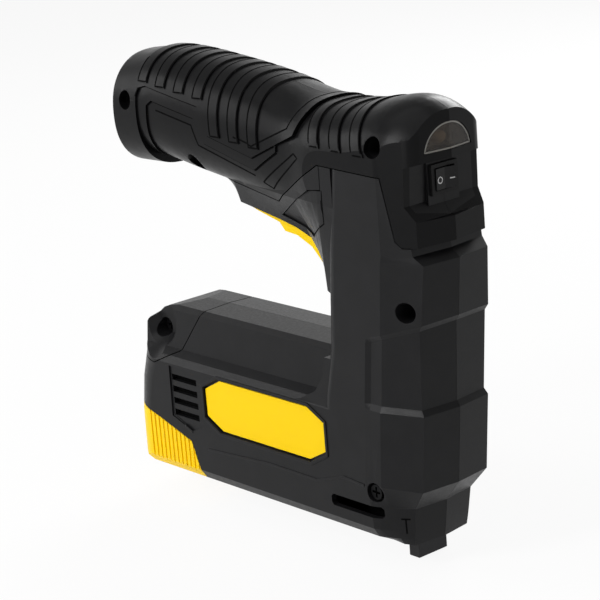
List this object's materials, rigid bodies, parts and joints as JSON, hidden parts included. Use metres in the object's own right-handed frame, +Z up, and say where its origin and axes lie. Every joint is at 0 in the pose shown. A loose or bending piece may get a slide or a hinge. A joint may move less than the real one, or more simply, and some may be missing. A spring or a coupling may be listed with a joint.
{
  "type": "cordless stapler",
  "caption": "Hand-held cordless stapler with a ribbed soft handle, yellow trigger, upright drive column, work light and a magazine that pulls out rearwards.",
  "frame": {"origin": "middle of the length on the tool's middle plane, at the level of the nose tip", "axes": "+X to the front (nose side), +Y to the user's left, +Z up with the base level"},
  "size_m": [0.1703, 0.0442, 0.1772],
  "materials": {
    "hard_shell": "fine spark texture",
    "soft_grip": "satin soft rubber",
    "yellow_plastic": "semi-gloss",
    "bright_steel": "plain bright steel",
    "dark_steel": "oiled dark steel",
    "spring_steel": "drawn wire",
    "white_plastic": "plain",
    "black_plastic": "plain",
    "gloss_black": "polished",
    "cast_alloy": "as cast",
    "clear_lens": "clear, polished",
    "lamp": "clear lamp body",
    "circuit_board": "green solder mask",
    "cell_wrap": "shrink wrap",
    "contact_metal": "nickel strip",
    "label_yellow": "printed film, bare"
  },
  "bodies": {
    "housing": {"housing_right": "hard_shell", "housing_left": "hard_shell", "grip_right": "soft_grip", "grip_left": "soft_grip", "rear_cap": "hard_shell", "staple_channel": "bright_steel", "nose_plate": "bright_steel", "guide_rods": "bright_steel", "hammer_frame": "dark_steel", "hammer_spring": "spring_steel", "motor_can": "bright_steel", "motor_end_bell": "black_plastic", "ring_gear": "dark_steel", "gearbox_cover": "cast_alloy", "shaft_bearings": "bright_steel", "trigger_pin": "bright_steel", "trigger_spring": "spring_steel", "trigger_switch": "black_plastic", "rocker_case": "black_plastic", "light_lens": "clear_lens", "light_board": "circuit_board", "light_lamp": "lamp", "control_board": "circuit_board", "board_chips": "black_plastic", "battery_cell": "cell_wrap", "battery_contacts": "contact_metal", "charge_socket": "black_plastic", "label_plates": "label_yellow", "housing_screws": "dark_steel"},
    "rotor": {"motor_shaft": "bright_steel", "motor_rotor": "dark_steel"},
    "planet_1": {"planet_gear_1": "dark_steel"},
    "planet_2": {"planet_gear_2": "dark_steel"},
    "planet_3": {"planet_gear_3": "dark_steel"},
    "drive": {"planet_carrier": "dark_steel", "output_shaft": "bright_steel", "sector_pinion": "dark_steel"},
    "hammer": {"hammer": "dark_steel", "driver_blade": "bright_steel"},
    "magazine": {"magazine_grip": "yellow_plastic", "magazine_rail": "bright_steel", "feed_rod": "bright_steel", "feed_spring": "spring_steel"},
    "follower": {"staple_follower": "white_plastic"},
    "trigger": {"trigger": "yellow_plastic"},
    "rocker": {"rocker_key": "gloss_black"}
  },
  "joints": [
    {"name": "trigger_squeeze", "type": "hinge", "parent": "housing", "child": "trigger", "pos_m": [-0.015, 0, 0.1245], "axis": [0, -1, 0], "range_deg": [0, 7], "stiffness_Nm_per_rad": 0.6, "springref_deg": -17.19, "deforming": ["trigger_spring"]},
    {"name": "rocker_tilt", "type": "hinge", "parent": "housing", "child": "rocker", "pos_m": [0.0782, 0, 0.142], "axis": [0, 0, 1], "range_deg": [0, 14]},
    {"name": "magazine_slide", "type": "slide", "parent": "housing", "child": "magazine", "axis": [-1, 0, 0], "range_m": [0, 0.075]},
    {"name": "follower_slide", "type": "slide", "parent": "magazine", "child": "follower", "axis": [-1, 0, 0], "range_m": [0, 0.06], "stiffness_N_per_m": 60, "springref_m": -0.05, "deforming": ["feed_spring"]},
    {"name": "sector_spin", "type": "hinge", "parent": "housing", "child": "drive", "pos_m": [0.05, 0, 0.052], "axis": [-1, 0, 0], "range_deg": [0, 150]},
    {"name": "hammer_lift", "type": "slide", "parent": "housing", "child": "hammer", "axis": [0, 0, 1], "range_m": [0, 0.02356], "deforming": ["hammer_spring"]},
    {"name": "rotor_spin", "type": "hinge", "parent": "housing", "child": "rotor", "pos_m": [-0.02, 0, 0.052], "axis": [-1, 0, 0], "range_deg": [0, 676]},
    {"name": "planet_1_spin", "type": "hinge", "parent": "drive", "child": "planet_1", "pos_m": [-0.011, 0.0081, 0.052], "axis": [-1, 0, 0], "range_deg": [-421, 0]},
    {"name": "planet_2_spin", "type": "hinge", "parent": "drive", "child": "planet_2", "pos_m": [-0.011, -0.00405, 0.05901], "axis": [-1, 0, 0], "range_deg": [-421, 0]},
    {"name": "planet_3_spin", "type": "hinge", "parent": "drive", "child": "planet_3", "pos_m": [-0.011, -0.00405, 0.04499], "axis": [-1, 0, 0], "range_deg": [-421, 0]}
  ],
  "couplings": [
    {"joint": "sector_spin", "follows": "hammer_lift", "rad_per_m": 111.11},
    {"joint": "rotor_spin", "follows": "hammer_lift", "rad_per_m": 500},
    {"joint": "planet_1_spin", "follows": "hammer_lift", "rad_per_m": -311.11},
    {"joint": "planet_2_spin", "follows": "hammer_lift", "rad_per_m": -311.11},
    {"joint": "planet_3_spin", "follows": "hammer_lift", "rad_per_m": -311.11}
  ]
}
